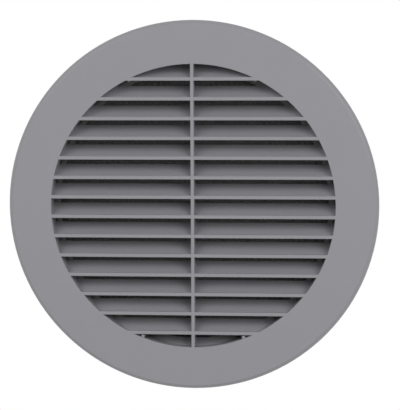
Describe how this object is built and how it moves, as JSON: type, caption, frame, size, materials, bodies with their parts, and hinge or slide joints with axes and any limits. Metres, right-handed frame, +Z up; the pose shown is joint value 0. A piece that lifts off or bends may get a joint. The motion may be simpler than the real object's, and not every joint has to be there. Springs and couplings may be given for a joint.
{
  "type": "round vent grille",
  "caption": "Round wall vent grille with sloping louvre blades, an upright mullion, a push-in spigot and an insect screen.",
  "frame": {"origin": "on the duct axis, in the plane where the flange meets the wall", "axes": "+Y along the duct axis into the wall, +Z up, +X to the right seen from in front; the flange faces -Y"},
  "size_m": [0.189, 0.029, 0.189],
  "materials": {
    "grille_plastic": "satin, finely textured moulding",
    "screen_net": "matte"
  },
  "bodies": {
    "root": {"grille": "grille_plastic", "insect_screen": "screen_net"}
  },
  "joints": []
}
